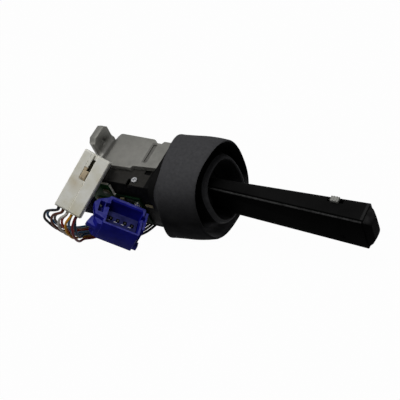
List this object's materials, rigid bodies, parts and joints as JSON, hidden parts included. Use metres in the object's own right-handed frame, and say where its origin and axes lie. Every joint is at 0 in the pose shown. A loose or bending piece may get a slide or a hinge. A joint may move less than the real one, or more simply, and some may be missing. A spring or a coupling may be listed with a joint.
{
  "type": "indicator stalk switch",
  "caption": "Steering column indicator switch: tapered lever in an oval rubber boot, switch housing with cast bracket, circuit board and two lead plugs.",
  "frame": {"origin": "centre of the fixing hole in the bracket's lug", "axes": "+X from the bracket's lug along the lever to its tip, +Z out of the bracket plate's top face, +Y from the circuit board's side to the bracket's flange"},
  "size_m": [0.2385, 0.0949, 0.0829],
  "materials": {
    "cast_metal": "grey die-cast, fine grain",
    "steel": "zinc-plated",
    "spring_steel": "drawn wire",
    "brass": "stamped sheet",
    "housing_black": "fine matt",
    "lever_black": "satin, lightly grained",
    "inner_dark": "moulded",
    "boot_rubber": "matt, dusty",
    "yoke_natural": "moulded, slippery",
    "board_green": "solder-resist laminate",
    "component_cream": "small components",
    "contact_base": "hard laminate",
    "plug_white": "natural, slightly yellowed",
    "latch_tan": "moulded",
    "plug_blue": "deep violet-blue",
    "insert_grey": "pale grey-blue",
    "switch_red": "moulded",
    "knob_grey": "light grey",
    "tinned": "tin-plated",
    "white_lead_01_skin": "black lead insulation",
    "white_lead_02_skin": "brown lead insulation",
    "white_lead_03_skin": "white lead insulation",
    "white_lead_04_skin": "yellow lead insulation",
    "white_lead_05_skin": "light blue lead insulation",
    "white_lead_06_skin": "blue lead insulation",
    "white_lead_07_skin": "grey lead insulation",
    "white_lead_08_skin": "orange-red lead insulation",
    "white_lead_09_skin": "red lead insulation",
    "white_lead_10_skin": "dark teal lead insulation",
    "blue_lead_01_skin": "dark red lead insulation",
    "blue_lead_02_skin": "black lead insulation",
    "blue_lead_03_skin": "grey-brown lead insulation",
    "blue_lead_04_skin": "black lead insulation"
  },
  "bodies": {
    "housing": {"mounting_bracket": "cast_metal", "bracket_flange": "cast_metal", "bracket_screws": "steel", "housing_body": "housing_black", "housing_cover": "housing_black", "cover_screws": "steel", "housing_screw": "steel", "circuit_board": "board_green", "board_parts": "component_cream", "board_screws": "steel", "contact_plate": "contact_base", "contact_strips": "brass", "detent_cam": "yoke_natural", "boot_clamp_ring": "housing_black", "rubber_boot": "boot_rubber", "boot_cuff": "boot_rubber", "lead_holder": "housing_black", "lower_lead_clamp": "housing_black", "white_plug_body": "plug_white", "white_plug_latch": "latch_tan", "white_plug_terminals": "brass", "blue_socket_shroud": "plug_blue", "blue_socket_insert": "insert_grey", "blue_socket_pins": "tinned", "white_lead_01": "white_lead_01_skin", "white_lead_02": "white_lead_02_skin", "white_lead_03": "white_lead_03_skin", "white_lead_04": "white_lead_04_skin", "white_lead_05": "white_lead_05_skin", "white_lead_06": "white_lead_06_skin", "white_lead_07": "white_lead_07_skin", "white_lead_08": "white_lead_08_skin", "white_lead_09": "white_lead_09_skin", "white_lead_10": "white_lead_10_skin", "blue_lead_01": "blue_lead_01_skin", "blue_lead_02": "blue_lead_02_skin", "blue_lead_03": "blue_lead_03_skin", "blue_lead_04": "blue_lead_04_skin"},
    "yoke": {"turn_yoke": "yoke_natural", "flash_pin": "steel", "turn_wiper": "brass", "plunger_spring": "spring_steel", "flash_springs": "spring_steel"},
    "plunger": {"detent_plunger": "steel"},
    "lever": {"lever_core": "inner_dark", "lever_dome": "lever_black", "lever_shell": "lever_black", "lever_cover": "lever_black", "shell_screw": "spring_steel", "button_guide": "inner_dark", "push_switch": "switch_red", "button_spring": "spring_steel"},
    "button": {"end_button": "lever_black"},
    "slider": {"slide_knob": "knob_grey"}
  },
  "joints": [
    {"name": "turn", "type": "hinge", "parent": "housing", "child": "yoke", "pos_m": [0.081, -0.0105, -0.0225], "axis": [0, 1, 0], "range_deg": [-9, 9]},
    {"name": "flash", "type": "hinge", "parent": "yoke", "child": "lever", "pos_m": [0.081, -0.0105, -0.0225], "axis": [0.014, 0, 0.9999], "range_deg": [0, 8], "stiffness_Nm_per_rad": 1.2, "springref_deg": -3.44, "deforming": ["flash_springs"]},
    {"name": "detent_plunge", "type": "slide", "parent": "yoke", "child": "plunger", "axis": [0.9999, 0, -0.014], "range_m": [0, 0.0015], "stiffness_N_per_m": 900, "springref_m": -0.002, "deforming": ["plunger_spring"]},
    {"name": "end_button_press", "type": "slide", "parent": "lever", "child": "button", "axis": [0.9999, 0, -0.014], "range_m": [-0.003, 0], "stiffness_N_per_m": 600, "springref_m": 0.003, "deforming": ["button_spring"]},
    {"name": "knob_slide", "type": "slide", "parent": "lever", "child": "slider", "axis": [0.9999, 0, -0.014], "range_m": [-0.0025, 0.0025]}
  ]
}
